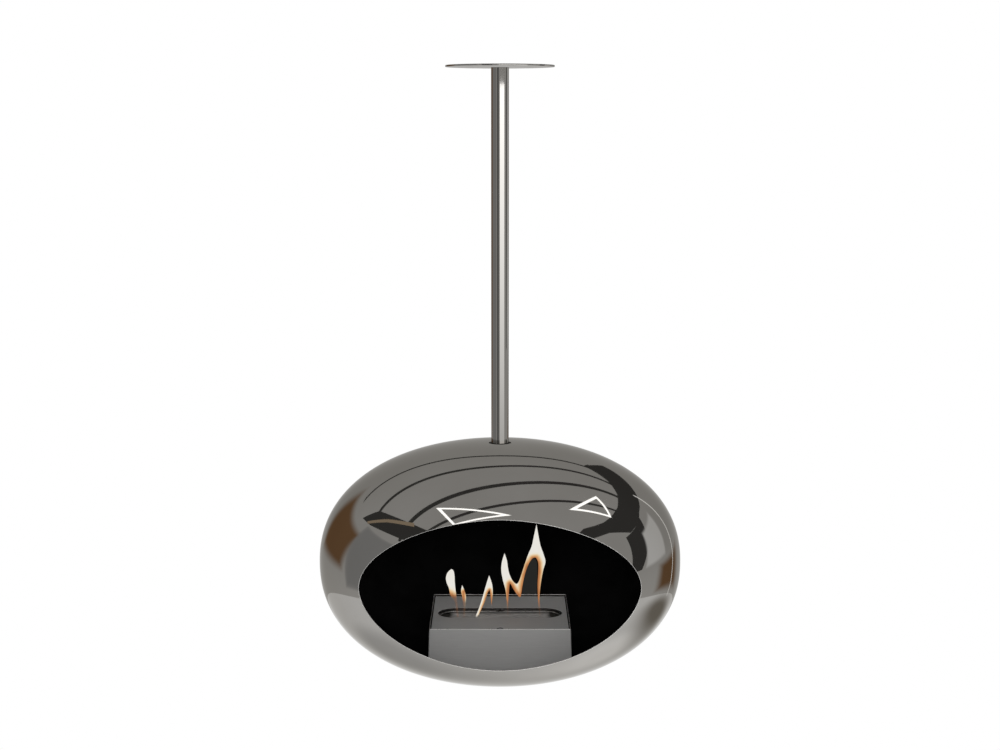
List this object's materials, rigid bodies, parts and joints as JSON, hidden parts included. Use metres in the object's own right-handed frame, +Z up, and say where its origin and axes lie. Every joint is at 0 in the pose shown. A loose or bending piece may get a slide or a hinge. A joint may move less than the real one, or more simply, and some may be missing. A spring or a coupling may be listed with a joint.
{
  "type": "hanging fireplace",
  "caption": "Hanging fireplace: a polished round bowl with a wide oval front opening, turning on a ceiling pole, with a lift-out box burner for liquid fuel and a sliding snuffer.",
  "frame": {"origin": "middle of the ceiling plate's top face", "axes": "+Z up along the pole, -Y out of the bowl's front opening, +X to the right seen from the front"},
  "size_m": [0.59, 0.5412, 0.9926],
  "materials": {
    "polished_steel": "polished",
    "brushed_steel": "satin",
    "sheet_steel": "satin",
    "zinc_steel": "satin",
    "bearing_steel": "polished",
    "cage_brass": "satin",
    "black_steel": "matte",
    "black_screw": "satin",
    "black_rubber": "matte",
    "wick_wool": "matte"
  },
  "bodies": {
    "hanger": {"ceiling_plate": "polished_steel", "plate_boss": "zinc_steel", "grub_screw_1": "black_screw", "grub_screw_2": "black_screw", "pole": "polished_steel", "pole_end_plug": "zinc_steel", "load_flange": "zinc_steel", "lock_washer": "zinc_steel", "hanger_bolt": "zinc_steel", "bearing_lower_race": "bearing_steel"},
    "ball_ring": {"bearing_cage": "cage_brass", "bearing_ball_1": "bearing_steel", "bearing_ball_2": "bearing_steel", "bearing_ball_3": "bearing_steel", "bearing_ball_4": "bearing_steel", "bearing_ball_5": "bearing_steel", "bearing_ball_6": "bearing_steel", "bearing_ball_7": "bearing_steel", "bearing_ball_8": "bearing_steel", "bearing_ball_9": "bearing_steel", "bearing_ball_10": "bearing_steel"},
    "bowl": {"shell": "polished_steel", "crown_plate": "black_steel", "pole_grommet": "black_rubber", "bearing_upper_race": "bearing_steel", "heat_shield": "black_steel", "shield_spacer_1": "zinc_steel", "shield_spacer_2": "zinc_steel", "shield_spacer_3": "zinc_steel", "shield_screw_1": "zinc_steel", "shield_screw_2": "zinc_steel", "shield_screw_3": "zinc_steel", "burner_casing": "brushed_steel", "casing_tray": "sheet_steel", "floor_stud_1": "zinc_steel", "floor_stud_2": "zinc_steel", "floor_stud_3": "zinc_steel", "floor_stud_4": "zinc_steel", "tray_nut_1": "zinc_steel", "tray_nut_2": "zinc_steel", "tray_nut_3": "zinc_steel", "tray_nut_4": "zinc_steel"},
    "burner_insert": {"burner_top_plate": "brushed_steel", "tank_deck": "sheet_steel", "fuel_tank": "sheet_steel", "ceramic_wool": "wick_wool", "slide_guide": "sheet_steel", "deck_stud_1": "zinc_steel", "deck_stud_2": "zinc_steel", "deck_stud_3": "zinc_steel", "deck_stud_4": "zinc_steel", "deck_nut_1": "zinc_steel", "deck_nut_2": "zinc_steel", "deck_nut_3": "zinc_steel", "deck_nut_4": "zinc_steel"},
    "snuffer": {"snuffer_slide": "sheet_steel"}
  },
  "joints": [
    {"name": "bowl_swivel", "type": "hinge", "parent": "hanger", "child": "bowl", "pos_m": [0, 0, -0.6206], "axis": [0, 0, 1], "continuous": true},
    {"name": "ball_roll", "type": "hinge", "parent": "hanger", "child": "ball_ring", "pos_m": [0, 0, -0.6206], "axis": [0, 0, 1], "continuous": true},
    {"name": "insert_lift", "type": "slide", "parent": "bowl", "child": "burner_insert", "axis": [0, 0, 1], "range_m": [0, 0.075]},
    {"name": "snuffer_close", "type": "slide", "parent": "burner_insert", "child": "snuffer", "axis": [0, -1, 0], "range_m": [0, 0.063]}
  ],
  "couplings": [
    {"joint": "ball_roll", "follows": "bowl_swivel", "ratio": 0.5}
  ]
}
